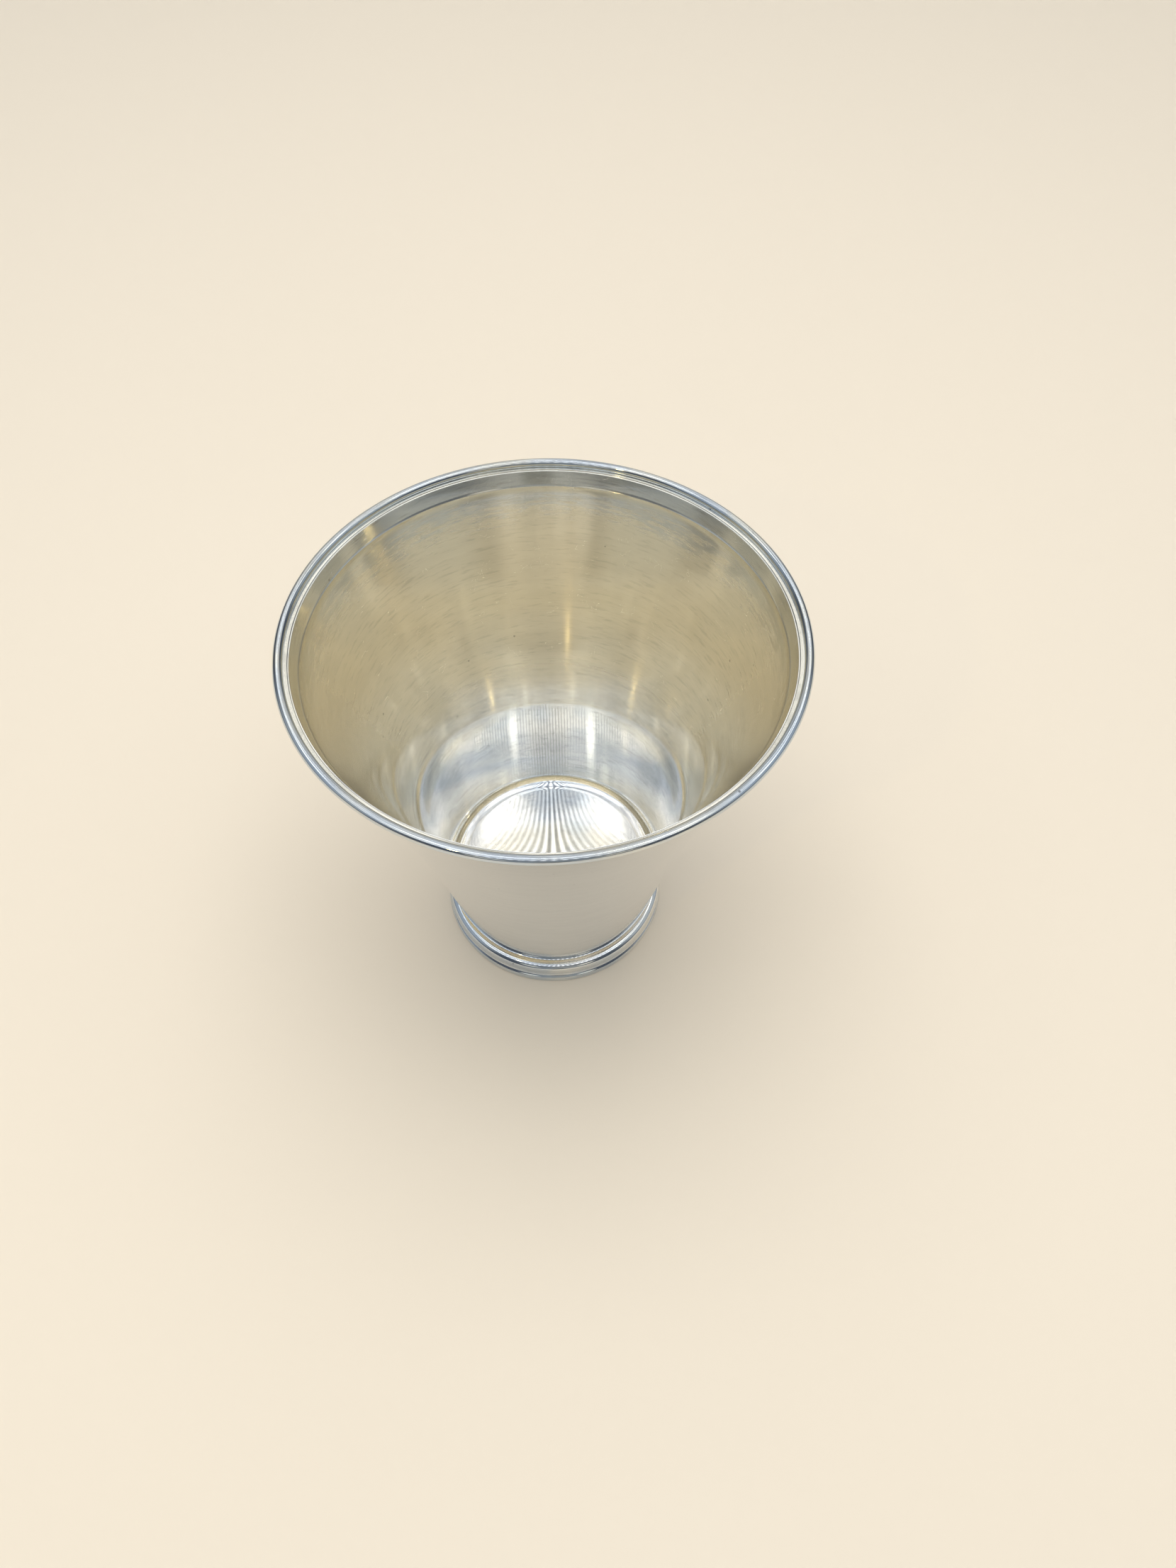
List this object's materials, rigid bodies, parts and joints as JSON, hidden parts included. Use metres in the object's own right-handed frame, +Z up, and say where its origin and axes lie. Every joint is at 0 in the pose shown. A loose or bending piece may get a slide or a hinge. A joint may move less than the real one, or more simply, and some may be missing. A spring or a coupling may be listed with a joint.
{
  "type": "bar jigger cup",
  "caption": "Single flared metal jigger cup with a beaded lip, a set-in flat floor and a moulded foot ring.",
  "frame": {"origin": "middle of the face that the cup stands on, under its foot ring", "axes": "+Z up along the cup's axis of revolution; the cup is the same all round, so X and Y are free"},
  "size_m": [0.068, 0.068, 0.0644],
  "materials": {
    "wall_metal": "polished silver-coloured metal with fine turning marks, warm tarnish inside the upper wall",
    "rim_metal": "bright polished silver-coloured wire with small nicks",
    "floor_metal": "silver-coloured metal turned with fine rings round its centre",
    "foot_metal": "polished silver-coloured moulding",
    "solder": "dull, slightly yellowed solder"
  },
  "bodies": {
    "root": {"cup_wall": "wall_metal", "rim_wire": "rim_metal", "rim_solder": "solder", "floor_disc": "floor_metal", "floor_solder": "solder", "foot_ring": "foot_metal", "foot_solder": "solder"}
  },
  "joints": []
}
